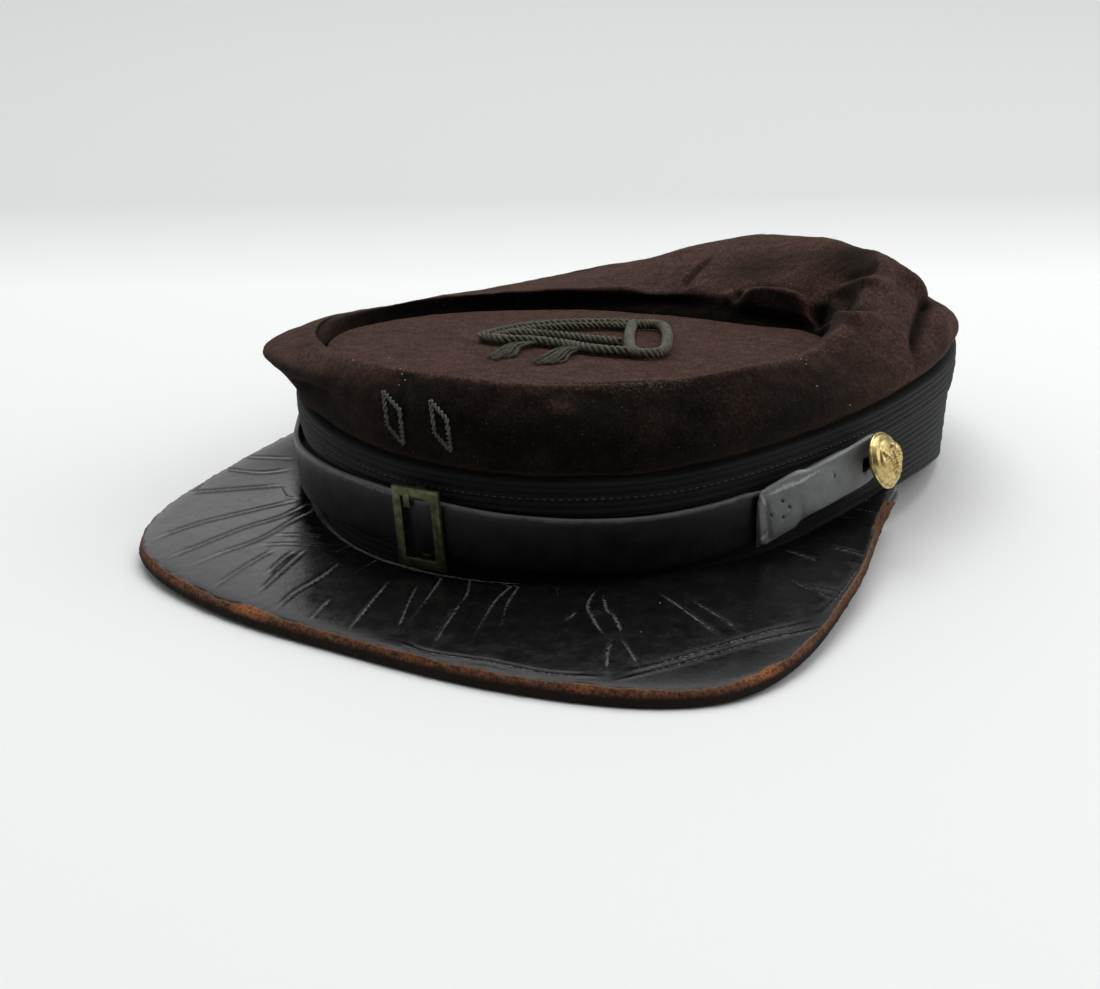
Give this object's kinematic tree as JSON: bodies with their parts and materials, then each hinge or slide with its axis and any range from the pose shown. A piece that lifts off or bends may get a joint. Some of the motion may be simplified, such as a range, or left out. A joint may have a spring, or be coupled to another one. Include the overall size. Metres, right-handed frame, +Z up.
{
  "type": "kepi cap",
  "caption": "Worn chasseur-style kepi in dark wool: sunken top, ribbed braid band, chin strap with buckle, side buttons and a broad leather peak.",
  "frame": {"origin": "the middle of the cap's footprint, on the surface it lies on", "axes": "+Z up, +Y from the peak towards the back of the head, +X towards the wearer's left"},
  "size_m": [0.1788, 0.2426, 0.0572],
  "materials": {
    "brown_wool": "matt, worn nap",
    "black_braid": "fine ribbed mohair, soft sheen",
    "black_lacquer": "crazed gloss lacquer",
    "grey_lacquer": "worn lacquer, pitted",
    "olive_brass": "dull, tarnished",
    "gilt_brass": "worn gilding",
    "olive_cord": "twisted cord, matt"
  },
  "bodies": {
    "root": {"crown": "brown_wool", "top_disc": "brown_wool", "braid_band": "black_braid", "peak": "black_lacquer", "strap_long": "black_lacquer", "strap_short": "grey_lacquer", "buckle": "olive_brass", "button_left": "gilt_brass", "button_right": "gilt_brass", "horn_badge": "olive_cord"}
  },
  "joints": []
}
